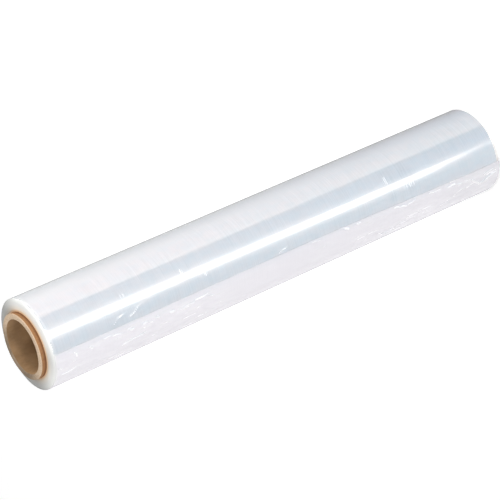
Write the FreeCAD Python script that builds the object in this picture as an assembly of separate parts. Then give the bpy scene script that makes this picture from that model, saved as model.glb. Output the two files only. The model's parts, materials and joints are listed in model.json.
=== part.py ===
import FreeCAD, Part
import math
import os

# Stretch wrap roll: clear film wound on a cardboard core, standing on its end
# The roll's axis is Z and the floor is z = 0. The origin is the middle of the core's lower rim,
# and the outer turn ends near -Y, the front. All sizes are in millimetres.

# Driving dimensions of the core
core_bore_radius = 25.0     # takes a 50 mm spindle or hand grip
core_wall = 5.2             # glued spiral plies
core_overhang = 4.7         # how far the core stands out of the film at each end
core_edge_ease = 0.4        # crushed edge left by the core cutter

# Driving dimensions of the wound film
film_width = 500.0          # width of the web
wind_thickness = 11.2       # film wound on the core, under the outer turn
rim_rounding = 1.2          # the outermost layers curl in at both ends
rim_fullness = 0.62         # 0.5 is a plain bevel and 0.71 a full quarter round
turn_band_depth = 0.3       # how far a band of turns may stand back at an end

# Driving dimensions of the outer turn, which ends in a straight cut edge
wrap_thickness = 0.25       # thickness where the outer turn dives under its own cut edge
tail_step = 0.35            # height of the cut edge, film and trapped air
tail_angle = 27.3           # cut edge, in degrees from the front (-Y) towards -X
slip_height = 2.2           # how far the outer turn has slipped down at its cut edge

# Creases where the loose turn has been smoothed down over trapped air
crease_height = 0.35        # how far a crease stands out of the film
crease_depth = 0.25         # how far its foot lies under the surface
crease_width = 2.4          # across its foot
crease_length = 20.0        # a middling one, tip to tip

# Depth of each band of turns, from the core outwards, as a share of turn_band_depth
top_bands = (0.0, 0.7, 0.25, 1.0, 0.4, 0.8, 0.2, 0.55)
bottom_bands = (0.3, 0.9, 0.5, 0.0, 0.75, 0.35, 1.0, 0.6)

# Each crease: degrees past the cut edge, distance below the film's top as a share of the web's
# width, length as a share of crease_length, and slant in degrees, positive where it goes away
# from the edge on its way down
creases = (
    (8.5, 0.055, 0.9, 10.0),
    (27.0, 0.028, 1.0, -6.0),
    (7.0, 0.120, 1.4, 6.0),
    (20.0, 0.160, 1.8, -5.0),
    (9.5, 0.235, 1.0, 2.0),
    (8.0, 0.295, 1.8, -2.5),
    (4.5, 0.640, 0.9, 4.0),
    (33.5, 0.735, 1.2, 8.0),
    (5.0, 0.775, 1.9, 3.0),
    (7.0, 0.885, 0.9, -3.0),
    (23.5, 0.890, 1.0, -24.0),
    (14.5, 0.943, 0.6, 42.0),
    (16.5, 0.966, 0.9, -20.0),
    (96.0, 0.310, 2.0, 4.0),
    (150.0, 0.700, 2.4, -4.0),
    (214.0, 0.450, 1.8, 5.0),
)

# Worked out from the driving dimensions
core_radius = core_bore_radius + core_wall
core_length = film_width + 2 * core_overhang
wind_radius = core_radius + wind_thickness
film_radius = wind_radius + wrap_thickness + tail_step
film_bottom = core_overhang
film_top = film_bottom + film_width

axis_foot = FreeCAD.Vector(0, 0, 0)
up = FreeCAD.Vector(0, 0, 1)


def heading(turned):
    """Plan angle from +X, so many degrees past the cut edge. The turns run clockwise from above."""
    return -90 - tail_angle - turned


def outward(turned):
    angle = math.radians(heading(turned))
    return FreeCAD.Vector(math.cos(angle), math.sin(angle), 0)


def outer_radius(turned):
    """Radius of the outer turn, so many degrees past its cut edge."""
    return film_radius - tail_step * turned / 360


def make_core():
    """Cardboard tube with its four cut edges slightly crushed."""
    outside = Part.makeCylinder(core_radius, core_length)
    bore = Part.makeCylinder(core_bore_radius, core_length)
    tube = outside.cut(bore)
    rims = [edge for edge in tube.Edges if isinstance(edge.Curve, Part.Circle)]
    return tube.makeChamfer(core_edge_ease, rims)


def stepped_end(bands, end_height, inward):
    """Half section of one end, from the core out to where the rim's rounding starts."""
    band_width = wind_thickness / len(bands)
    points = []
    for number, share in enumerate(bands):
        height = end_height + inward * share * turn_band_depth
        inner = core_radius + number * band_width
        outer = inner + band_width
        if number == len(bands) - 1:
            outer -= rim_rounding
        points += [FreeCAD.Vector(inner, 0, height), FreeCAD.Vector(outer, 0, height)]
    return points


def rounded_rim(start, inward):
    """Shallow arc from an end face to the outside of the wound turns."""
    hub = start + up * (inward * rim_rounding)
    end = hub + FreeCAD.Vector(rim_rounding, 0, 0)
    bulge = rim_rounding * rim_fullness
    middle = hub + FreeCAD.Vector(bulge, 0, -inward * bulge)
    return Part.Arc(start, middle, end).toShape(), end


def chain(points):
    return [Part.makeLine(start, end) for start, end in zip(points, points[1:])]


def make_wind():
    """The wound turns, with bands of turns at both ends that stand back by different depths."""
    top = stepped_end(top_bands, film_top, -1)
    bottom = stepped_end(bottom_bands, film_bottom, 1)
    top_rim, top_corner = rounded_rim(top[-1], -1)
    bottom_rim, bottom_corner = rounded_rim(bottom[-1], 1)
    edges = chain(bottom) + [bottom_rim, Part.makeLine(bottom_corner, top_corner), top_rim]
    edges += chain(top[::-1]) + [Part.makeLine(top[0], bottom[0])]
    return Part.Face(Part.Wire(edges)).revolve(axis_foot, up, 360)


def spiral_section(height):
    """One turn of a spiral, as four tangent quarter arcs about the corners of a small square."""
    shrink = tail_step / 4
    radius = film_radius - shrink / 2
    hub = up * height + outward(0) * (shrink / 2)
    arcs = []
    for start in (0, 90, 180, 270):
        points = [hub + outward(start + part) * radius for part in (0, 45, 90)]
        arcs.append(Part.Arc(*points).toShape())
        hub += outward(start + 90) * shrink
        radius -= shrink
    cut_edge = Part.makeLine(arcs[-1].Vertexes[-1].Point, arcs[0].Vertexes[0].Point)
    return Part.Face(Part.Wire(arcs + [cut_edge]))


def web_half(slip, facing):
    """Block as tall as the web over half the plan, lower by the whole slip at the cut edge."""
    reach = 2 * film_radius
    corners = []
    for side, height in ((-1, film_bottom), (1, film_bottom), (1, film_top), (-1, film_top)):
        fall = slip / 2 * (1 + side * reach / film_radius)
        corners.append(FreeCAD.Vector(0, side * reach, height - fall))
    outline = Part.makePolygon(corners + corners[:1])
    block = Part.Face(outline).extrude(FreeCAD.Vector(reach, 0, 0))
    block.rotate(axis_foot, up, heading(facing))
    return block


def make_outer_turn():
    """The loose outer turn, in two halves: the one that ends in the cut edge has slipped down."""
    spare = 2 * slip_height + rim_rounding
    tall = film_width + 2 * spare
    start = film_bottom - spare
    inside = Part.makeCylinder(wind_radius, tall, up * start)
    band = spiral_section(start).extrude(up * tall).cut(inside)
    return [band.common(web_half(slip_height, 90)), band.common(web_half(0, 270))]


def make_crease(turned, share, size, slant):
    """The ridge of one crease: three-sided, sharpest at its crest, and running out at both tips."""
    reach = size * crease_length / 2
    crest = FreeCAD.Vector(crease_height + crease_depth, 0, 0)
    left = FreeCAD.Vector(0, -crease_width / 2, 0)
    right = FreeCAD.Vector(0, crease_width / 2, 0)
    faces = []
    for tip in (up * -reach, up * reach):
        for start, end in ((left, crest), (crest, right), (right, left)):
            faces.append(Part.Face(Part.makePolygon([tip, start, end, tip])))
    ridge = Part.Solid(Part.Shell(faces))
    ridge.rotate(axis_foot, FreeCAD.Vector(1, 0, 0), -slant)
    ridge.rotate(axis_foot, up, heading(turned))
    foot = outward(turned) * (outer_radius(turned) - crease_depth)
    ridge.translate(foot + up * (film_top - share * film_width))
    return ridge


def make_film():
    """All the film as one solid: the wound turns, the loose outer turn and its creases."""
    ridges = [make_crease(*crease) for crease in creases]
    return make_wind().multiFuse(make_outer_turn() + ridges).removeSplitter()


os.makedirs("parts", exist_ok=True)
pieces = {"core": make_core(), "film": make_film()}
for name, piece in pieces.items():
    solids = piece.Solids
    print(name, "solids", len(solids), "valid", piece.isValid(), "volume", round(piece.Volume))
    shape = solids[0] if len(solids) == 1 else piece
    shape.exportStep(f"parts/{name}.step")
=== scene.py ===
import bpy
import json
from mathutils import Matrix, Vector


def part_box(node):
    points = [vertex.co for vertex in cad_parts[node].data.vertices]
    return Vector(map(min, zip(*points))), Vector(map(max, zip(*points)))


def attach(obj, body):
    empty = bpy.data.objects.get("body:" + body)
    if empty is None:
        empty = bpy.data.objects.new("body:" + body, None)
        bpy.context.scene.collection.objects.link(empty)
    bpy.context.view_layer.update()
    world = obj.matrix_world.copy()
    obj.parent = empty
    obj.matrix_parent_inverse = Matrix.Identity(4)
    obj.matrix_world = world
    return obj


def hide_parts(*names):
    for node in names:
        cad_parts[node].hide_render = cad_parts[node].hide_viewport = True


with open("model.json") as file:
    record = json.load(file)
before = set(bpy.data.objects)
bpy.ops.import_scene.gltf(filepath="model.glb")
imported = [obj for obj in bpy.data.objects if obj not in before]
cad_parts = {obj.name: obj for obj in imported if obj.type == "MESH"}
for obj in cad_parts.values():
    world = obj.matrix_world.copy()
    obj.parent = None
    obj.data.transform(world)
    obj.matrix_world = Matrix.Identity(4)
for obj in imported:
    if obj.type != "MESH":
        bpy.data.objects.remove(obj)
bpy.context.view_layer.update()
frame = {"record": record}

import json
import math

import bmesh
import bpy
from mathutils import Euler, Matrix, Vector, noise

# Shared places, read from the frame. The roll stands on +Z, front is -Y.
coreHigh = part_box("core")[1]
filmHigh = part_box("film")[1]
mounts = {mount["name"]: mount for mount in frame["record"]["mounts"]}
boreRadius = mounts["core_bore"]["dims"]["r_mm"] / 1000
coreRadius = coreHigh.x
coreTop = coreHigh.z
filmTop = filmHigh.z
filmBottom = coreTop - filmTop  # the core stands out by as much at both ends
filmMiddle = (filmTop + filmBottom) / 2
filmWidth = filmTop - filmBottom


def smooth(low, high, value):
    share = min(1.0, max(0.0, (value - low) / (high - low)))
    return share * share * (3 - 2 * share)


def link(mesh, name):
    piece = bpy.data.objects.new(name, mesh)
    bpy.context.scene.collection.objects.link(piece)
    return piece


def joinColumns(mesh, columns):
    # Faces over closed columns of points, all the way round
    for first, second in zip(columns, columns[1:] + columns[:1]):
        for i in range(len(first)):
            j = (i + 1) % len(first)
            mesh.faces.new((first[i], second[i], second[j], first[j]))


def smoothFaces(mesh):
    bmesh.ops.recalc_face_normals(mesh, faces=mesh.faces)
    for face in mesh.faces:
        face.smooth = True


def keepMesh(mesh, name):
    data = bpy.data.meshes.new(name)
    mesh.to_mesh(data)
    mesh.free()
    return link(data, name)


# Node helpers: add a node, wire it, and the few sums that every material uses
class Wiring:
    def __init__(self, tree):
        self.tree = tree

    def add(self, kind, inputs=None, **settings):
        node = self.tree.nodes.new(kind)
        for name, value in settings.items():
            setattr(node, name, value)
        for key, value in (inputs or {}).items():
            self.put(node, key, value)
        return node

    def put(self, node, key, value):
        socket = node.inputs[key]
        if isinstance(value, bpy.types.NodeSocket):
            self.tree.links.new(value, socket)
        else:
            socket.default_value = value

    def maths(self, operation, first, second=0.0, third=None, clamp=False):
        inputs = {0: first, 1: second}
        if third is not None:
            inputs[2] = third
        return self.add("ShaderNodeMath", inputs, operation=operation, use_clamp=clamp).outputs[0]

    def ease(self, value, low, high, start=0.0, end=1.0):
        inputs = {"Value": value, "From Min": low, "From Max": high, "To Min": start, "To Max": end}
        return self.add("ShaderNodeMapRange", inputs, interpolation_type="SMOOTHSTEP").outputs["Result"]

    def share(self, value, low, high):
        # How far a value has come from low to high, in even steps
        inputs = {"Value": value, "From Min": low, "From Max": high}
        return self.add("ShaderNodeMapRange", inputs).outputs["Result"]

    def apart(self, first, second):
        # How far two values are from each other, either way
        return self.maths("ABSOLUTE", self.maths("SUBTRACT", first, second))

    def reach(self, across, along):
        # Straight distance from the middle of a spot, or from the roll's axis
        flat = self.add("ShaderNodeCombineXYZ", {0: across, 1: along}).outputs[0]
        return self.add("ShaderNodeVectorMath", {0: flat}, operation="LENGTH").outputs["Value"]

    def mark(self, name):
        # A value that the mesh carries at its points
        return self.add("ShaderNodeAttribute", attribute_name=name).outputs["Fac"]

    def blendColour(self, share, first, second, kind="MIX"):
        node = self.add("ShaderNodeMix", data_type="RGBA", blend_type=kind, clamp_factor=True)
        for place, value in ((0, share), (6, first), (7, second)):
            if isinstance(value, bpy.types.NodeSocket):
                self.tree.links.new(value, node.inputs[place])
            else:
                node.inputs[place].default_value = value if place == 0 else (*value, 1)
        return node.outputs[2]

    def shade(self, colour, value):
        # A colour made darker or lighter by a plain value
        grey = self.add("ShaderNodeCombineColor", {0: value, 1: value, 2: value}).outputs[0]
        return self.blendColour(1.0, colour, grey, "MULTIPLY")

    def grain(self, vector, scale, detail=3.0, roughness=0.5, stretch=(1, 1, 1)):
        placed = self.add("ShaderNodeVectorMath", {0: vector, 1: stretch}, operation="MULTIPLY")
        inputs = {"Vector": placed.outputs[0], "Scale": scale, "Detail": detail, "Roughness": roughness}
        return self.add("ShaderNodeTexNoise", inputs).outputs["Fac"]


def newMaterial(name):
    material = bpy.data.materials.new(name)
    material.use_nodes = True
    material.node_tree.nodes.clear()
    wiring = Wiring(material.node_tree)
    output = wiring.add("ShaderNodeOutputMaterial")
    return material, wiring, output


def newGroup(name, inputs, outputs):
    group = bpy.data.node_groups.new(name, "ShaderNodeTree")
    for label, kind, value in inputs:
        socket = group.interface.new_socket(label, in_out="INPUT", socket_type=kind)
        if value is not None:
            socket.default_value = value
    for label, kind in outputs:
        group.interface.new_socket(label, in_out="OUTPUT", socket_type=kind)
    wiring = Wiring(group)
    entry = wiring.add("NodeGroupInput")
    leave = wiring.add("NodeGroupOutput")
    return group, wiring, entry, leave


def useGroup(wiring, group, values):
    node = wiring.add("ShaderNodeGroup", node_tree=group)
    for key, value in values.items():
        wiring.put(node, key, value)
    return node


def makeRoundGroup():
    # Round coordinates about the roll's axis: radius, angle from the front, height
    group, wiring, entry, leave = newGroup(
        "roundPlace", [("Place", "NodeSocketVector", None)],
        [("Radius", "NodeSocketFloat"), ("Angle", "NodeSocketFloat"), ("Height", "NodeSocketFloat")])
    across, back, height = wiring.add("ShaderNodeSeparateXYZ", {0: entry.outputs[0]}).outputs
    front = wiring.maths("MULTIPLY", back, -1.0)
    wiring.put(leave, 0, wiring.reach(across, back))
    wiring.put(leave, 1, wiring.maths("ARCTAN2", across, front))
    wiring.put(leave, 2, height)
    return group


def makeFleckGroup():
    # Fine uneven grain, as a value round 0.5, used by board and film alike
    group, wiring, entry, leave = newGroup(
        "fleck", [("Place", "NodeSocketVector", None), ("Scale", "NodeSocketFloat", 400.0),
                  ("Stretch", "NodeSocketVector", (1, 1, 1)), ("Contrast", "NodeSocketFloat", 1.0)],
        [("Value", "NodeSocketFloat")])
    place, scale, stretch, contrast = entry.outputs[:4]
    coarse = wiring.grain(place, scale, 4.0, 0.6, stretch)
    shifted = wiring.maths("SUBTRACT", coarse, 0.5)
    wiring.put(leave, 0, wiring.maths("MULTIPLY_ADD", shifted, contrast, 0.5, clamp=True))
    return group


roundPlace = makeRoundGroup()
fleck = makeFleckGroup()


# The wound film
film = {
    "outerRadius": 0.042,
    "tailStep": 0.00035,
    "tailAngle": 27.3,  # from the front towards -X, degrees
    "tailLead": 2.5,  # the cut edge stands so much nearer the front at the top
    "tailRunOn": 4.5,  # and runs on by so much in the lower half
    "slip": 0.0022,
    "wrapThickness": 0.00025,
    "topRim": (0.0032, 0.0014),  # how far in, and how far down, the outermost layers curl
    "bottomRim": (0.0009, 0.0006),
    "turnBands": 26,  # bands of turns seen on each end
    "bandRelief": 0.00012,
    "columnSpans": ((0.0, 46.0, 112), (46.0, 332.0, 92), (332.0, 360.0, 50)),  # degrees, columns
    "rows": 290,
    "endDepth": 0.0003,  # the bands of turns lie about so deep
    "sharpFrom": 50,  # degrees between faces, from which an edge is drawn sharp
    "weldDistance": 0.000004,
    "skewSpan": 40.0,  # degrees past the cut edge, over which its skew dies out
    "looseSpan": (62.0, 130.0),  # degrees past it, over which the loose turn looks wound again
    "puckerSpan": (24.0, 60.0),
    "slowWave": 0.00006,  # unevenness of the tightly wound turns
    "quickWave": 0.000022,
    "pucker": 0.00018,  # of the loose turn by its cut edge
    "finePucker": 0.0001,
    "calmSpan": (0.33, 0.40, 0.62, 0.70),  # shares down between which it lies calmer
    "calmShare": 0.75,
    "creaseWaver": 0.0004,
    "creaseUneven": 0.3,
    "creaseTips": (5, 0.7),  # how steeply, and how roundly, a crease runs out at its tips
    "creaseFade": 0.002,  # creases run out so near the ends
    "flankAngles": (12.0, 64.0),  # limits of a crease's steeper flank, degrees
    # Depths below the ends over which their milky look gives way to the side's
    "topTone": (0.0014, 0.0032),
    "sideTone": (0.0014, 0.0044),
    "bottomTone": (0.0004, 0.0006),
    # Colours, shares and gloss
    "skin": (0.875, 0.877, 0.882),
    "looseSkin": (0.85, 0.835, 0.872),
    # painted shade of the loose turn near the bottom end
    "looseFootShade": (0.795, 0.785, 0.82),
    "foldWhite": (0.985, 0.98, 0.985),
    "cutLine": (0.50, 0.50, 0.53),
    "endNearCore": (0.87, 0.56, 0.30),
    "endWarm": (0.92, 0.83, 0.69),
    "endMilk": (0.89, 0.895, 0.87),
    "coolStain": (0.955, 0.98, 1.0),
    "warmStain": (1.0, 0.985, 0.99),
    "dull": (0.30, 0.36, 0.42),
    "dullShare": 0.17,
    "streakShare": 0.66,
    "skinMetal": 0.42,
    "looseMetal": 0.16,
    "skinRough": 0.10,
    "looseRough": 0.20,
    "foldMetal": 0.38,
    "foldRough": 0.32,
    # painted light and painted shade on the film's ends, by their angle from the front
    "endPaintedLight": 1.07,
    "endPaintedShade": 0.53,
    "endRough": 0.30,
    "dieContrast": 0.34,
    "warmReach": 0.66,  # shares of the way out from the core
    "glowReach": 0.25,
    "endLightSpan": (64, 118),  # degrees from the front, over which the ends turn from painted light to painted shade
    "endShadeSpot": (-36, 34, 0.20),  # a spot of painted shade: its angle, its reach and by how much it is darker
    "turnScale": 5200.0,
    "turnShades": (0.955, 1.02),
    "footShadeSpan": (0.02, 0.085),  # above the bottom end, where the loose turn is painted greyer as painted shade
    "frontSpan": (38, 55),  # degrees from the front, past which stains and lines are faint
    "faintShare": 0.30,
    "patchScale": 60.0,
    "stainScale": 150.0,
    "streakScale": 260.0,
    "streakCalm": (0.33, 0.40, 0.60, 0.68),  # shares down between which it has few streaks
    "dieLines": (26, 26, 1100),  # grains per metre, each way
    "diePatches": 26.0,
    "scuffLines": (9, 9, 1100),
    "swayGrain": (150, 150, 700),
    "softGrain": 240.0,
    "relief": 0.00006,
    # Creases of the loose turn, each from one tip to the other: degrees past the cut edge and
    # share down from the top at both tips, then height of the fold and width of its flatter flank
    "creases": [
        (29.0, 0.011, 25.0, 0.047, 0.00072, 0.0016),
        (4.5, 0.043, 13.0, 0.047, 0.00070, 0.0013),
        (7.0, 0.069, 11.0, 0.081, 0.00070, 0.0014),
        (5.0, 0.098, 6.0, 0.118, 0.00054, 0.0009),
        (6.0, 0.116, 9.5, 0.142, 0.00054, 0.0010),
        (18.0, 0.010, 19.0, 0.017, 0.00060, 0.0012),
        (15.5, 0.037, 16.5, 0.046, 0.00050, 0.0010),
        (25.3, 0.131, 19.2, 0.191, 0.00084, 0.0014),
        (8.5, 0.154, 9.2, 0.164, 0.00087, 0.0016),
        (9.2, 0.181, 8.4, 0.192, 0.00087, 0.0016),
        (10.0, 0.195, 12.0, 0.205, 0.00051, 0.0013),
        (9.0, 0.208, 8.5, 0.218, 0.00065, 0.0013),
        (8.0, 0.237, 11.0, 0.249, 0.00095, 0.0017),
        (11.5, 0.260, 9.0, 0.294, 0.00060, 0.0010),
        (9.0, 0.288, 6.5, 0.324, 0.00066, 0.0011),
        (10.0, 0.321, 13.0, 0.331, 0.00058, 0.0013),
        (14.0, 0.335, 15.5, 0.352, 0.00024, 0.0011),
        (2.5, 0.545, 3.2, 0.577, 0.00042, 0.0007),
        (3.2, 0.626, 4.2, 0.638, 0.00091, 0.0011),
        (3.0, 0.654, 3.6, 0.666, 0.00081, 0.0011),
        (14.0, 0.555, 12.5, 0.590, 0.00031, 0.0014),
        (1.8, 0.741, 5.0, 0.759, 0.00076, 0.0009),
        (5.0, 0.757, 7.0, 0.777, 0.00076, 0.0009),
        (6.8, 0.775, 2.2, 0.797, 0.00076, 0.0009),
        (37.5, 0.715, 35.5, 0.746, 0.00096, 0.0021),
        (31.0, 0.706, 34.5, 0.722, 0.00059, 0.0016),
        (33.0, 0.742, 37.0, 0.753, 0.00101, 0.0022),
        (30.5, 0.752, 32.0, 0.780, 0.00067, 0.0016),
        (27.0, 0.770, 30.5, 0.802, 0.00050, 0.0016),
        (3.0, 0.827, 3.8, 0.842, 0.00076, 0.0009),
        (5.8, 0.871, 6.0, 0.896, 0.00090, 0.0013),
        (8.3, 0.898, 9.2, 0.909, 0.00094, 0.0019),
        (35.0, 0.856, 26.0, 0.884, 0.00059, 0.0016),
        (26.0, 0.884, 16.0, 0.915, 0.00059, 0.0016),
        (8.0, 0.932, 23.5, 0.955, 0.00120, 0.0016),
        (23.5, 0.949, 12.5, 0.996, 0.00130, 0.0015),
        (12.0, 0.960, 5.0, 0.992, 0.00059, 0.0011),
        (-3.5, 0.120, -14.5, 0.153, 0.00042, 0.0008),
        (-4.5, 0.155, -15.5, 0.187, 0.00048, 0.0008),
        (-1.8, 0.476, -7.0, 0.500, 0.00042, 0.0008),
        (95.0, 0.276, 97.0, 0.344, 0.00040, 0.0022),
        (152.0, 0.660, 149.0, 0.740, 0.00040, 0.0022),
        (213.0, 0.418, 216.0, 0.482, 0.00035, 0.0022),
    ],
    # Scuffs beside the bright strip: degrees from the front towards +X, share down from the top,
    # then reach round the roll in degrees and along it in metres
    "scuffs": [
        (7.5, 0.745, 9.0, 0.006),
        (-8.8, 0.792, 7.0, 0.011),
        (6.0, 0.282, 6.5, 0.003),
        (8.0, 0.160, 6.5, 0.003),
        (-8.0, 0.325, 5.0, 0.003),
    ],
    # Dull scuffs, spread wide over the front
    "dullScuffs": [
        (0.0, 0.748, 26.0, 0.010),
        (0.0, 0.790, 26.0, 0.014),
    ],
}


def outerRadiusAt(turned):
    return film["outerRadius"] - film["tailStep"] * turned / 360


def slipAt(turned):
    return film["slip"] / 2 * (1 + math.cos(math.radians(min(turned, 180.0))))


def creaseHeight(turned, down):
    # A fold is sharpest at its crest, wavers on its way and runs out at both tips
    total = 0.0
    if turned > 300:
        turned -= 360
    share = down / filmWidth
    across = math.radians(turned) * film["outerRadius"]
    flattest, steepest = film["flankAngles"]
    steepness, roundness = film["creaseTips"]
    margin = 0.006
    for startTurned, startShare, endTurned, endShare, height, width in film["creases"]:
        if not startShare - margin < share < endShare + margin:
            continue
        start = Vector((math.radians(startTurned) * film["outerRadius"], startShare * filmWidth))
        end = Vector((math.radians(endTurned) * film["outerRadius"], endShare * filmWidth))
        run = end - start
        length = run.length
        run /= length
        offset = Vector((across, down)) - start
        along = offset.dot(run) / length
        if not 0 < along < 1:
            continue
        aside = offset.x * run.y - offset.y * run.x
        aside += film["creaseWaver"] * math.sin(along * 7 + startShare * 90)
        if abs(aside) > width:
            continue
        # The flank towards the cut edge is the steeper, and faces the front
        facing = film["tailAngle"] + (startTurned + endTurned) / 2
        steep = height / math.tan(math.radians(min(steepest, max(flattest, facing))))
        taper = min(1.0, steepness * along, steepness * (1 - along)) ** roundness
        wave = noise.noise(Vector((down * 260, startShare * 50, 2.0)))
        uneven = 0.9 + film["creaseUneven"] * wave
        flank = steep if aside * run.y < 0 else width
        total += height * uneven * max(0.0, taper - abs(aside) / flank)
    return total


def ripple(turned, down):
    # Slow unevenness of the tightly wound turns, and puckers of the loose one by its cut edge
    angle = math.radians(turned)
    spot = Vector((math.cos(angle) * 2.2, math.sin(angle) * 2.2, down * 9))
    slow = noise.noise(spot) * film["slowWave"]
    spot = Vector((math.cos(angle) * 5, math.sin(angle) * 5, down * 45))
    slow += noise.noise(spot) * film["quickWave"]
    loose = smooth(1.0, 4.0, turned) * (1 - smooth(*film["puckerSpan"], turned))
    if loose <= 0:
        return slow
    share = down / filmWidth
    calmFrom, calmFull, calmLast, calmTo = film["calmSpan"]
    calm = smooth(calmFrom, calmFull, share) * (1 - smooth(calmLast, calmTo, share))
    calm = 1 - film["calmShare"] * calm
    pucker = noise.noise(Vector((turned * 0.16, down * 60, 4.0)))
    fine = noise.noise(Vector((turned * 0.5, down * 140, 9.0)))
    return slow + loose * calm * (film["pucker"] * pucker + film["finePucker"] * fine)


def filmColumns():
    # Close together where the loose turn is creased, further apart round the rest
    turns = []
    for start, end, count in film["columnSpans"]:
        turns += [start + (end - start) * i / count for i in range(count)]
    return turns + [360.0]


def onFilm(turned, radius, height):
    # The cut edge is cut a little askew, so columns near it lie further round at the bottom
    nearEdge = 1 - smooth(0.0, film["skewSpan"], min(turned, 360.0 - turned))
    runOn = film["tailRunOn"] * smooth(0.50, 1.0, (filmTop - height) / filmWidth) - film["tailLead"]
    heading = math.radians(-90 - film["tailAngle"] - nearEdge * runOn - turned)
    return Vector((math.cos(heading) * radius, math.sin(heading) * radius, height))


def endProfile(turned, top):
    # Points (radius, depth below the end) from the core outwards, then the loose turn's edge
    outer = outerRadiusAt(turned)
    slip = slipAt(turned)
    under = film["outerRadius"] - film["tailStep"] - film["wrapThickness"]
    bare = smooth(0.0, 0.0006, slip)
    rim = outer + (under - outer) * bare
    inward, curl = film["topRim"] if top else film["bottomRim"]
    angle = math.radians(turned)
    seed = 3.0 if top else 8.0
    face = film["endDepth"]
    points = []
    for i in range(film["turnBands"] + 1):
        share = i / film["turnBands"]
        radius = coreRadius + (rim - inward - coreRadius) * share
        wave = noise.noise(Vector((radius * 900, seed, math.cos(angle) * 0.4)))
        points.append((radius, face + film["bandRelief"] * wave * min(1, 4 * (1 - share))))
    for i in range(1, 9):
        turn = math.radians(90 * i / 8)
        points.append((rim - inward + inward * math.sin(turn), face + curl * (1 - math.cos(turn))))
    plain = face + curl + 0.0001
    if top:
        return points, rim, max(slip, plain)
    return points, rim, -slip if slip > 0.0001 else plain


def buildFilm():
    mesh = bmesh.new()
    # Marks on the mesh: folds in mm, the loose turn, the shaded line along its cut edge, the ends
    marks = [mesh.verts.layers.float.new(name) for name in ("fold", "loose", "cutLine", "endFace")]
    columns = []
    for turned in filmColumns():
        loose = 1 - smooth(*film["looseSpan"], turned)
        cutLine = {0.0: 0.5, 360.0: 1.0}.get(turned, 0.0)
        outer = outerRadiusAt(turned)
        topPoints, topRim, topEdge = endProfile(turned, True)
        lowPoints, lowRim, lowEdge = endProfile(turned, False)
        low = filmBottom + lowEdge
        high = filmTop - topEdge
        points = [(radius, filmTop - depth, 0.0, 1 - smooth(*film["topTone"], depth))
                  for radius, depth in topPoints]
        points.append((topRim, high, 0.0, 0.0))
        for row in range(film["rows"] + 1):
            height = high + (low - high) * row / film["rows"]
            down = filmTop - height
            fade = smooth(0.0, film["creaseFade"], height - low)
            fade *= smooth(0.0, film["creaseFade"], high - height)
            folded = creaseHeight(turned, down) * fade
            raised = folded + ripple(turned, down) * fade
            if turned in (0.0, 360.0):
                raised = 0.0
            points.append((outer + raised, height, folded, 1 - smooth(*film["sideTone"], down)))
        points.append((lowRim, low, 0.0, 0.0))
        points += [(radius, filmBottom + depth, 0.0, 1 - smooth(*film["bottomTone"], depth))
                   for radius, depth in lowPoints[::-1]]
        column = []
        for radius, height, folded, ended in points:
            vertex = mesh.verts.new(onFilm(turned, radius, height))
            for mark, value in zip(marks, (folded * 1000, loose, cutLine, ended)):
                vertex[mark] = value
            column.append(vertex)
        columns.append(column)
    joinColumns(mesh, columns)
    bmesh.ops.remove_doubles(mesh, verts=mesh.verts, dist=film["weldDistance"])
    smoothFaces(mesh)
    for edge in mesh.edges:
        edge.smooth = edge.calc_face_angle(0.0) < math.radians(film["sharpFrom"])
    return keepMesh(mesh, "woundFilm")


def scuffMask(wiring, spots, angle, height):
    mask = 0.0
    for spotAngle, share, aroundReach, alongReach in spots:
        aside = wiring.maths("SUBTRACT", angle, math.radians(spotAngle))
        aside = wiring.maths("DIVIDE", aside, math.radians(aroundReach))
        below = wiring.maths("SUBTRACT", height, filmTop - share * filmWidth)
        below = wiring.maths("DIVIDE", below, alongReach)
        mask = wiring.maths("ADD", mask, wiring.ease(wiring.reach(aside, below), 0.3, 1.0, 1.0, 0.0))
    return mask


def filmEndColour(wiring, radius, angle, turns):
    # Warm by the core and milky further out. The ends carry painted light towards the front and painted
    # shade towards the back, with one spot of deeper painted shade.
    outward = wiring.share(radius, coreRadius, film["outerRadius"])
    warm = wiring.ease(outward, 0.0, film["warmReach"], 1.0, 0.0)
    glow = wiring.ease(outward, 0.0, film["glowReach"], 1.0, 0.0)
    colour = wiring.blendColour(warm, film["endMilk"], film["endWarm"])
    colour = wiring.blendColour(glow, colour, film["endNearCore"])
    lightTo, shadeFrom = film["endLightSpan"]
    spotAngle, spotReach, spotShare = film["endShadeSpot"]
    # painted light towards the front, painted shade towards the back and in one spot
    clear = wiring.ease(wiring.maths("ABSOLUTE", angle), math.radians(lightTo), math.radians(shadeFrom),
                        film["endPaintedLight"], film["endPaintedShade"])
    fromSpot = wiring.apart(angle, math.radians(spotAngle))
    clear = wiring.maths("SUBTRACT", clear, wiring.ease(
        fromSpot, 0.0, math.radians(spotReach), spotShare, 0.0))
    turnShade = wiring.ease(turns, 0.3, 0.75, *film["turnShades"])
    return wiring.shade(colour, wiring.maths("MULTIPLY", turnShade, clear))


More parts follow.
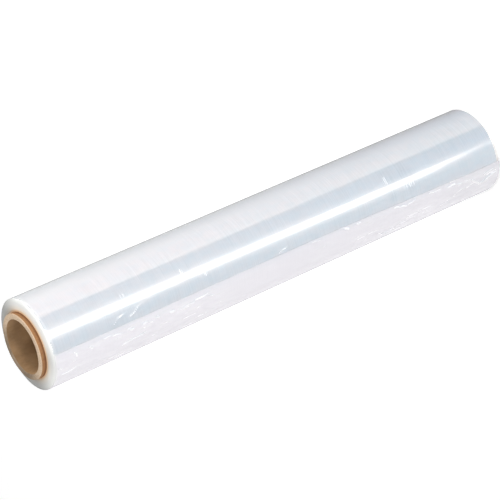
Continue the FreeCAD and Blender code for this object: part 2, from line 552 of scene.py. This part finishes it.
def filmMaterial():
    material, wiring, output = newMaterial("clearFilm")
    place = wiring.add("ShaderNodeTexCoord").outputs["Object"]
    radius, angle, height = useGroup(wiring, roundPlace, {"Place": place}).outputs
    patch = useGroup(wiring, fleck, {
        "Place": place, "Scale": film["patchScale"], "Stretch": (1, 1, 0.35),
        "Contrast": 2.2}).outputs[0]
    onRadius = wiring.add("ShaderNodeCombineXYZ", {0: radius}).outputs[0]
    turns = useGroup(wiring, fleck, {
        "Place": onRadius, "Scale": film["turnScale"], "Contrast": 1.4}).outputs[0]
    endMask = wiring.mark("endFace")
    cutLine = wiring.mark("cutLine")
    loose = wiring.maths("MULTIPLY", wiring.mark("loose"), wiring.ease(patch, 0.0, 0.6, 0.82, 1.0))
    creased = wiring.ease(wiring.mark("fold"), 0.08, 0.40)
    endColour = filmEndColour(wiring, radius, angle, turns)

    # painted shade: the loose turn is painted greyer near the bottom end
    footFrom, footTo = [filmBottom + up for up in film["footShadeSpan"]]
    footShade = wiring.ease(height, footFrom, footTo, 1.0, 0.0)
    looseSkin = wiring.blendColour(footShade, film["looseSkin"], film["looseFootShade"])
    skin = wiring.blendColour(loose, film["skin"], looseSkin)
    skin = wiring.blendColour(wiring.maths("MULTIPLY", cutLine, 0.7), skin, film["cutLine"])

    # Faint stains, and die lines that run round the roll in patches, strongest over the front
    frontFrom, frontTo = [math.radians(degrees) for degrees in film["frontSpan"]]
    frontShare = wiring.ease(
        wiring.maths("ABSOLUTE", angle), frontFrom, frontTo, 1.0, film["faintShare"])
    stains = wiring.grain(place, film["stainScale"], 3.0, 0.6, (1, 1, 0.6))
    stains = wiring.ease(stains, 0.36, 0.64)
    stain = wiring.blendColour(stains, film["coolStain"], film["warmStain"])
    stained = wiring.maths("MULTIPLY", frontShare, wiring.maths("SUBTRACT", 1.0, loose))
    skin = wiring.blendColour(stained, skin, stain, "MULTIPLY")
    dieLines = wiring.grain(place, 1.0, 3.0, 0.65, film["dieLines"])
    patches = wiring.grain(place, film["diePatches"], 2.0, 0.5, (1, 1, 0.7))
    patches = wiring.ease(patches, 0.35, 0.65, 0.35, 1.0)
    lineShade = wiring.maths("MULTIPLY", wiring.maths("SUBTRACT", dieLines, 0.5), patches)
    lineShade = wiring.maths("MULTIPLY", lineShade, wiring.ease(loose, 0.0, 1.0, 1.0, 0.35))
    lineShade = wiring.maths("MULTIPLY", lineShade, frontShare)
    lineShade = wiring.maths("MULTIPLY_ADD", lineShade, film["dieContrast"], 1.0)
    skin = wiring.shade(skin, lineShade)
    scuffed = scuffMask(wiring, film["scuffs"], angle, height)
    scuffLines = wiring.ease(wiring.grain(place, 1.0, 2.0, 0.6, film["scuffLines"]), 0.48, 0.60)
    scuffed = wiring.maths("MULTIPLY", scuffed, scuffLines, clamp=True)
    dulled = scuffMask(wiring, film["dullScuffs"], angle, height)
    dulled = wiring.maths("MULTIPLY", dulled, wiring.ease(dieLines, 0.40, 0.56, 1.0, 0.35))
    skin = wiring.blendColour(wiring.maths("MULTIPLY", dulled, film["dullShare"]), skin, film["dull"])

    # Faint pale streaks link the creases, but for the calm middle of the loose turn
    calmFrom, calmFull, calmLast, calmTo = [
        filmTop - share * filmWidth for share in film["streakCalm"]]
    calm = wiring.maths("MULTIPLY", wiring.ease(height, calmFrom, calmFull),
                        wiring.ease(height, calmTo, calmLast))
    streaks = wiring.grain(place, film["streakScale"], 3.0, 0.6, (1, 1, 0.17))
    streaks = wiring.ease(streaks, 0.46, 0.70)
    streaks = wiring.maths("MULTIPLY", streaks, wiring.ease(calm, 0.0, 1.0, film["streakShare"], 0.1))
    streaks = wiring.maths("MULTIPLY", streaks, loose)
    bright = wiring.maths("MAXIMUM", creased, wiring.maths("MAXIMUM", scuffed, streaks))
    skin = wiring.blendColour(bright, skin, film["foldWhite"])
    colour = wiring.blendColour(endMask, skin, endColour)

    onSkin = wiring.maths("SUBTRACT", 1.0, endMask)
    metal = wiring.ease(loose, 0.0, 1.0, film["skinMetal"], film["looseMetal"])
    metal = wiring.ease(bright, 0.0, 1.0, metal, film["foldMetal"])
    metal = wiring.maths("MULTIPLY", metal, onSkin)
    metal = wiring.maths("MULTIPLY", metal, wiring.maths("SUBTRACT", 1.0, cutLine))
    rough = wiring.ease(loose, 0.0, 1.0, film["skinRough"], film["looseRough"])
    rough = wiring.ease(bright, 0.0, 1.0, rough, film["foldRough"])
    rough = wiring.ease(endMask, 0.0, 1.0, rough, film["endRough"])

    # A fine grain breaks the mirror, and the ends show their turns
    sway = wiring.grain(place, 1.0, 2.0, 0.5, film["swayGrain"])
    soft = wiring.grain(place, film["softGrain"], 2.0, 0.5, (1, 1, 0.4))
    skinHeight = wiring.maths("MULTIPLY_ADD", dieLines, 0.35, wiring.maths("ADD", soft, sway))
    relief = wiring.ease(endMask, 0.0, 1.0, skinHeight, turns)
    bump = wiring.add("ShaderNodeBump", {
        "Strength": 0.3, "Distance": film["relief"], "Height": relief})
    shader = wiring.add("ShaderNodeBsdfPrincipled", {
        "Base Color": colour, "Metallic": metal, "Roughness": rough, "IOR": 1.5,
        "Normal": bump.outputs[0]})
    wiring.put(output, "Surface", shader.outputs[0])
    return material


# The cardboard core
core = {
    "columns": 192,
    "plies": 9,
    "endRagged": 0.00012,
    "ease": 0.0004,
    "outerEase": 0.0008,
    "rows": 60,
    "pitch": 0.118,  # of the spiral seam
    "seamWidth": 0.009,  # as a share of the pitch, each way
    "boreLightReach": (0.008, 0.021),  # how far in from the ends the bore's painted light turns from darker to lighter
    "filmShade": (0.0022, 0.0046),  # how far from the ends the outside is painted in shade by the film
    "cutReach": (0.0003, 0.0009),
    "cutShadeAngle": 157,  # middle of the side painted in shade, degrees from the front towards -X
    "skin": (0.24, 0.10, 0.034),
    "skinPale": (0.43, 0.22, 0.09),
    "bore": (0.20, 0.115, 0.052),
    "borePale": (0.39, 0.24, 0.122),
    # painted light in the bore, darker at its mouths and lighter deeper in
    "boreMouthLight": 0.90,
    "boreInsideLight": 1.34,
    "cut": (0.75, 0.575, 0.41),
    "cutDark": (0.42, 0.285, 0.175),
    # painted shade where the board meets the film
    "shadeByFilm": (0.13, 0.05, 0.018),
    # painted shade on the cut ring's far side
    "cutShade": (0.16, 0.115, 0.075),
    "boreSideLight": 1.2,  # painted light: the bore is so much paler along its two sides
    "seamShare": 0.45,
    "shadeByFilmShare": 0.80,
    "plyShare": 0.55,
    "fibreScale": 900.0,
    "cloudScale": 90.0,
    "relief": 0.0002,
}


def coreProfile(angle):
    # Closed section (radius, height), from the mouth down the outside and back up the bore
    ease = core["ease"]
    outerEase = core["outerEase"]
    wall = coreRadius - boreRadius

    def ragged(share, end):
        spot = Vector((math.cos(angle) * 6, math.sin(angle) * 6, share * 31 + end * 7))
        ply = noise.noise(Vector((round(share * core["plies"]) * 3.7, end * 5, math.cos(angle) * 0.8)))
        return core["endRagged"] * min(0.0, 0.6 * ply + 0.5 * noise.noise(spot) - 0.5)

    top = []
    low = []
    steps = core["plies"] * 3
    for i in range(steps + 1):
        share = i / steps
        radius = boreRadius + ease + (wall - ease - outerEase) * share
        top.append((radius, coreTop + ragged(share, 1)))
        low.append((radius, -ragged(share, 2)))
    bend = [(coreRadius - outerEase * (1 - math.sin(turn)), outerEase * (1 - math.cos(turn)))
            for turn in (math.radians(step) for step in (30, 60, 90))]
    outside = [(radius, coreTop - depth) for radius, depth in bend]
    outside += [(coreRadius, filmTop - 0.001), (coreRadius, filmBottom + 0.001)]
    outside += bend[::-1]
    rows = core["rows"]
    inside = [(boreRadius, ease + (coreTop - 2 * ease) * i / rows) for i in range(rows + 1)]
    return top + outside + low[::-1] + inside


def buildCore():
    mesh = bmesh.new()
    columns = []
    for i in range(core["columns"]):
        angle = 2 * math.pi * i / core["columns"]
        out = Vector((math.cos(angle), math.sin(angle), 0))
        columns.append([mesh.verts.new(out * radius + Vector((0, 0, height)))
                        for radius, height in coreProfile(angle)])
    joinColumns(mesh, columns)
    smoothFaces(mesh)
    return keepMesh(mesh, "coreTube")


def coreMaterial():
    material, wiring, output = newMaterial("coreBoard")
    place = wiring.add("ShaderNodeTexCoord").outputs["Object"]
    radius, angle, height = useGroup(wiring, roundPlace, {"Place": place}).outputs
    fibres = useGroup(wiring, fleck, {
        "Place": place, "Scale": core["fibreScale"], "Stretch": (1, 1, 0.3),
        "Contrast": 1.6}).outputs[0]
    clouds = useGroup(wiring, fleck, {
        "Place": place, "Scale": core["cloudScale"], "Stretch": (1, 1, 0.6),
        "Contrast": 1.8}).outputs[0]

    # The butt seam of the winding, as a helix on the bore and on the outside
    turnShare = wiring.maths("DIVIDE", angle, 2 * math.pi)
    climb = wiring.maths("DIVIDE", height, core["pitch"])
    phase = wiring.maths("FRACT", wiring.maths("SUBTRACT", climb, turnShare))
    seam = wiring.ease(wiring.apart(phase, 0.5), 0.0, core["seamWidth"], 1.0, 0.0)

    outside = wiring.ease(radius, boreRadius + 0.002, boreRadius + 0.003)
    skin = wiring.blendColour(fibres, core["skin"], core["skinPale"])
    inner = wiring.blendColour(clouds, core["bore"], core["borePale"])
    # Painted light and shade: the bore is painted darker at its mouths and lighter deeper in, and
    # lighter along its two sides than along the front and the back
    low = wiring.maths("MINIMUM", height, wiring.maths("SUBTRACT", coreTop, height))
    boreLight = wiring.ease(low, *core["boreLightReach"], core["boreMouthLight"], core["boreInsideLight"])
    alongFront = wiring.maths("ABSOLUTE", wiring.maths("COSINE", angle))
    sides = wiring.ease(alongFront, 0.3, 1.0, core["boreSideLight"], 1.0)
    inner = wiring.shade(inner, wiring.maths("MULTIPLY", boreLight, sides))
    wall = wiring.blendColour(outside, inner, skin)
    wall = wiring.blendColour(wiring.maths("MULTIPLY", seam, core["seamShare"]), wall, core["cutDark"])

    # Painted shade darkens the board where it meets the film, and both ends are cut clean
    shadeByFilm = wiring.maths("MULTIPLY", wiring.ease(low, *core["filmShade"]), outside)
    shadeByFilm = wiring.maths("MULTIPLY", shadeByFilm, core["shadeByFilmShare"])
    wall = wiring.blendColour(shadeByFilm, wall, core["shadeByFilm"])
    cutMask = wiring.ease(low, *core["cutReach"], 1.0, 0.0)
    across = wiring.share(radius, boreRadius, coreRadius)
    plyWave = wiring.maths("SINE", wiring.maths("MULTIPLY", across, core["plies"] * 2 * math.pi))
    plyLine = wiring.maths("MULTIPLY", wiring.ease(plyWave, 0.5, 1.0), core["plyShare"])
    cut = wiring.blendColour(plyLine, core["cut"], core["cutDark"])
    cut = wiring.blendColour(wiring.ease(fibres, 0.35, 0.8, 0.0, 0.5), cut, core["cutDark"])
    # The cut ring is painted in shade on the side away from the front
    cutShadeSide = wiring.maths("ADD", angle, math.radians(core["cutShadeAngle"]))
    cutShade = wiring.ease(wiring.maths("COSINE", cutShadeSide), -0.1, 0.8, 0.0, 0.95)
    cutShade = wiring.maths("MULTIPLY", cutShade, wiring.ease(clouds, 0.2, 0.8, 0.75, 1.0))
    cut = wiring.blendColour(cutShade, cut, core["cutShade"])
    colour = wiring.blendColour(cutMask, wall, cut)

    relief = wiring.maths("MULTIPLY_ADD", seam, -1.2, fibres)
    bump = wiring.add("ShaderNodeBump", {
        "Strength": 0.6, "Distance": core["relief"], "Height": relief})
    rough = wiring.ease(fibres, 0.0, 1.0, 0.72, 0.92)
    shader = wiring.add("ShaderNodeBsdfPrincipled", {
        "Base Color": colour, "Roughness": rough, "Normal": bump.outputs[0]})
    wiring.put(output, "Surface", shader.outputs[0])
    return material


coreTube = buildCore()
coreTube.data.materials.append(coreMaterial())
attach(coreTube, "root")
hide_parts("core")
print("core ready")

woundFilm = buildFilm()
woundFilm.data.materials.append(filmMaterial())
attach(woundFilm, "root")
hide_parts("film")
print("film ready,", len(woundFilm.data.polygons), "faces")


# Camera: the photo's place and lens, fitted to its edges. It is turned about its own line of
# sight, because the photo shows the standing roll lying down.
camera = {
    "place": (-0.00275, -1.7091, 1.2494),
    "elevation": 29.85,
    "turn": -113.83,
    "lens": 158.1,
}


def placeCamera():
    data = bpy.data.cameras.new("photoCamera")
    data.lens = camera["lens"]
    data.sensor_width = 36.0
    data.clip_start = 0.05
    data.clip_end = 50.0
    eye = bpy.data.objects.new("photoCamera", data)
    bpy.context.scene.collection.objects.link(eye)
    level = Euler((math.radians(90 - camera["elevation"]), 0, 0)).to_matrix()
    turned = level @ Matrix.Rotation(math.radians(camera["turn"]), 3, "Z")
    eye.matrix_world = Matrix.Translation(camera["place"]) @ turned.to_4x4()
    bpy.context.scene.camera = eye


placeCamera()
print("camera ready")


# Studio: a pale floor, a white world, soft lamps, and a ring of boards that the gloss reflects
studio = {
    "floorSize": 6.0,
    "worldLight": 0.52,
    "backLight": 0.24,
    "floorPaint": (0.9, 0.9, 0.9),
    "floorGlow": 0.46,  # with what the lamps give, it comes out white
    "wrapDistance": 1.0,
    "wrapTop": 0.95,
    "wrapBottom": -4.0,
    "wrapSteps": 120,
    "topReflection": 0.078,  # height on the boards that the roll's top reflects to the camera
    "bottomReflection": -0.709,
    # Both edges of the bright strip: degrees from the front at the top, and how they shift down
    "stripUpper": (7.2, -10.2),
    "stripLower": (-6.8, -9.4),
    "stripNarrows": 18.5,  # the lower edge closes in by so much at the bottom
    "stripLight": 2.0,
    "haloReach": -20.0,
    "haloLight": 1.45,
    "haloShare": 0.5,
    "foldLight": 3.0,
    "foldMiddle": -12.0,  # degrees from the front
    "foldSpan": (24.0, 52.0),  # degrees either side of it, over which the light ends
    "darkBehind": (0.16, 0.15, 0.15),
    "lowestBoard": (0.40, 0.45, 0.52),
    # Board colours: degrees from the front towards +X, as seen in the roll's top, in its bottom
    "boards": [
        (-180, (1.05, 1.00, 1.09), (0.77, 0.78, 0.83)),
        (-165, (0.82, 0.80, 0.87), (0.52, 0.53, 0.60)),
        (-148, (1.10, 1.09, 1.11), (1.20, 1.20, 1.21)),
        (-120, (1.02, 0.99, 1.03), (1.05, 1.03, 1.08)),
        (-58, (0.93, 0.91, 0.96), (0.82, 0.83, 0.87)),
        (-54, (0.46, 0.53, 0.62), (0.44, 0.56, 0.68)),
        (-40, (0.32, 0.45, 0.57), (0.40, 0.55, 0.69)),
        (-30, (0.32, 0.45, 0.59), (0.39, 0.55, 0.67)),
        (20, (0.41, 0.48, 0.57), (0.21, 0.37, 0.54)),
        (36, (0.34, 0.43, 0.55), (0.14, 0.31, 0.46)),
        (45, (0.44, 0.48, 0.56), (0.19, 0.32, 0.42)),
        (48, (0.88, 0.84, 0.86), (0.54, 0.59, 0.66)),
        (64, (0.85, 0.78, 0.83), (0.48, 0.53, 0.59)),
        (88, (0.90, 0.85, 0.89), (0.41, 0.48, 0.57)),
        (104, (0.89, 0.86, 0.89), (0.31, 0.39, 0.50)),
        (112, (0.78, 0.78, 0.81), (0.22, 0.29, 0.40)),
        (118, (0.70, 0.71, 0.75), (0.21, 0.27, 0.37)),
        (128, (0.66, 0.69, 0.74), (0.26, 0.28, 0.36)),
        (144, (0.65, 0.67, 0.69), (0.21, 0.22, 0.25)),
        (160, (0.57, 0.58, 0.57), (0.30, 0.31, 0.30)),
        (172, (0.35, 0.37, 0.38), (0.39, 0.42, 0.45)),
    ],
    # Soft lamps: name, place, side, watts. None shows in the gloss, the boards do that.
    "lamps": [
        ("sideLamp", (1.9, -1.1, 1.25), 0.8, 27.0),
        ("frontLamp", (-1.1, -1.8, 1.3), 1.1, 21.0),
        ("topLamp", (0.2, -0.1, 2.0), 0.5, 2.6),
    ],
}


def whiteRays(wiring):
    # The rays for which floor and world are plain white
    rays = wiring.add("ShaderNodeLightPath").outputs
    seen = wiring.maths("MAXIMUM", rays["Is Camera Ray"], rays["Is Glossy Ray"])
    return wiring.maths("MAXIMUM", seen, rays["Is Transmission Ray"])


def wrapMaterial():
    material, wiring, output = newMaterial("studioBoards")
    position = wiring.add("ShaderNodeNewGeometry").outputs["Position"]
    across, back, height = wiring.add("ShaderNodeSeparateXYZ", {0: position}).outputs
    front = wiring.maths("MULTIPLY", back, -1.0)
    turn = wiring.maths("MULTIPLY", wiring.maths("ARCTAN2", across, front), 180 / math.pi)
    topSeen = studio["topReflection"]
    bottomSeen = studio["bottomReflection"]
    down = wiring.share(height, topSeen, bottomSeen)
    place = wiring.maths("DIVIDE", wiring.maths("ADD", turn, 180.0), 360.0)
    boards = studio["boards"]
    colours = []
    for row in (1, 2):
        ramp = wiring.add("ShaderNodeValToRGB", {0: place})
        stops = ramp.color_ramp.elements
        stops[0].color = stops[1].color = (*boards[0][row], 1)  # they meet behind the roll
        for board in boards[1:]:
            stops.new((board[0] + 180) / 360).color = (*board[row], 1)
        colours.append(ramp.outputs[0])
    boardColour = wiring.blendColour(down, *colours)

    # Behind the roll, above its top, the studio is dark, which draws the rim's outline
    high = wiring.ease(height, 0.04, 0.16)
    behind = wiring.ease(wiring.maths("ABSOLUTE", turn), 140.0, 160.0)
    dark = wiring.maths("MULTIPLY", high, behind)
    boardColour = wiring.blendColour(dark, boardColour, studio["darkBehind"])

    # The bright strip lies across the front and runs out at an angle towards the floor
    upperStart, upperShift = studio["stripUpper"]
    lowerStart, lowerShift = studio["stripLower"]
    upperLine = wiring.maths("MULTIPLY_ADD", down, upperShift, upperStart)
    upperSide = wiring.maths("SUBTRACT", upperLine, turn)
    lowerLine = wiring.maths("MULTIPLY_ADD", down, lowerShift, lowerStart)
    narrower = wiring.ease(down, 0.80, 1.0, 0.0, studio["stripNarrows"])
    lowerSide = wiring.maths("SUBTRACT", turn, wiring.maths("ADD", lowerLine, narrower))
    upperEdge = wiring.ease(upperSide, -4.5, 3.0)
    lowerEdge = wiring.ease(lowerSide, -5.0, 3.5)
    inStrip = wiring.maths("MULTIPLY", upperEdge, lowerEdge)
    upperHalo = wiring.ease(upperSide, studio["haloReach"], 4.0)
    lowerHalo = wiring.ease(lowerSide, studio["haloReach"], 4.0)
    halo = wiring.maths("POWER", wiring.maths("MULTIPLY", upperHalo, lowerHalo), 1.4)
    halo = wiring.maths("MULTIPLY", halo, studio["haloShare"])
    boardColour = wiring.blendColour(halo, boardColour, (studio["haloLight"],) * 3)
    boardColour = wiring.blendColour(inStrip, boardColour, (studio["stripLight"],) * 3)

    # Lights over and under the strip show only in the folds of the loose turn
    above = wiring.ease(height, topSeen + 0.15, topSeen + 0.3)
    under = wiring.ease(height, bottomSeen - 0.2, bottomSeen - 0.34)
    lowest = wiring.ease(height, bottomSeen - 0.6, bottomSeen - 0.7)
    ahead = wiring.ease(wiring.apart(turn, studio["foldMiddle"]), *studio["foldSpan"], 1.0, 0.0)
    foldGlow = wiring.maths("MULTIPLY", wiring.maths("MAXIMUM", above, under), ahead)
    boardColour = wiring.blendColour(foldGlow, boardColour, (studio["foldLight"],) * 3)
    boardColour = wiring.blendColour(lowest, boardColour, studio["lowestBoard"])
    glow = wiring.add("ShaderNodeEmission", {"Color": boardColour})
    wiring.put(output, "Surface", glow.outputs[0])
    return material


def buildWrap():
    mesh = bmesh.new()
    steps = studio["wrapSteps"]
    pairs = []
    for i in range(steps):
        angle = 2 * math.pi * i / steps
        spot = Vector((math.sin(angle), -math.cos(angle), 0)) * studio["wrapDistance"]
        pairs.append([mesh.verts.new(spot + Vector((0, 0, height)))
                      for height in (studio["wrapBottom"], studio["wrapTop"])])
    for first, second in zip(pairs, pairs[1:] + pairs[:1]):
        mesh.faces.new((first[0], second[0], second[1], first[1]))
    wrap = keepMesh(mesh, "studioBoards")
    wrap.data.materials.append(wrapMaterial())
    for ray in ("camera", "diffuse", "shadow", "transmission", "volume_scatter"):
        setattr(wrap, "visible_" + ray, False)


buildWrap()


def buildFloor():
    half = studio["floorSize"] / 2
    data = bpy.data.meshes.new("floor")
    corners = [(-half, -half, 0), (half, -half, 0), (half, half, 0), (-half, half, 0)]
    data.from_pydata(corners, [], [(0, 1, 2, 3)])
    floor = link(data, "floor")
    floor.visible_glossy = False
    material, wiring, output = newMaterial("paleFloor")
    white = wiring.maths("MULTIPLY", whiteRays(wiring), studio["floorGlow"])
    paint = wiring.add("ShaderNodeBsdfDiffuse", {"Color": (*studio["floorPaint"], 1)})
    glow = wiring.add("ShaderNodeEmission", {"Color": (1, 1, 1, 1), "Strength": white})
    both = wiring.add("ShaderNodeAddShader", {0: paint.outputs[0], 1: glow.outputs[0]})
    wiring.put(output, "Surface", both.outputs[0])
    data.materials.append(material)


buildFloor()


def buildWorld():
    world = bpy.data.worlds.new("whiteStudio")
    bpy.context.scene.world = world
    world.use_nodes = True
    world.node_tree.nodes.clear()
    wiring = Wiring(world.node_tree)
    # Less light comes from behind the roll than from the front and the sides
    heading = wiring.add("ShaderNodeTexCoord").outputs["Generated"]
    back = wiring.add("ShaderNodeSeparateXYZ", {0: heading}).outputs[1]
    sent = wiring.ease(back, 0.0, 0.8, studio["worldLight"], studio["backLight"])
    strength = wiring.add("ShaderNodeMix", {0: whiteRays(wiring), 2: sent, 3: 1.0}).outputs[0]
    sky = wiring.add("ShaderNodeBackground", {"Color": (1, 1, 1, 1), "Strength": strength})
    wiring.put(wiring.add("ShaderNodeOutputWorld"), "Surface", sky.outputs[0])


buildWorld()


def buildLamp(name, place, side, watts):
    data = bpy.data.lights.new(name, "AREA")
    data.size = side
    data.energy = watts
    lamp = bpy.data.objects.new(name, data)
    bpy.context.scene.collection.objects.link(lamp)
    aim = Vector((0, 0, filmMiddle))
    lamp.rotation_euler = (Vector(place) - aim).to_track_quat("Z", "Y").to_euler()
    lamp.location = place
    lamp.visible_camera = False
    lamp.visible_glossy = False


for lamp in studio["lamps"]:
    buildLamp(*lamp)
print("studio ready")

bpy.context.scene.view_settings.view_transform = "Standard"
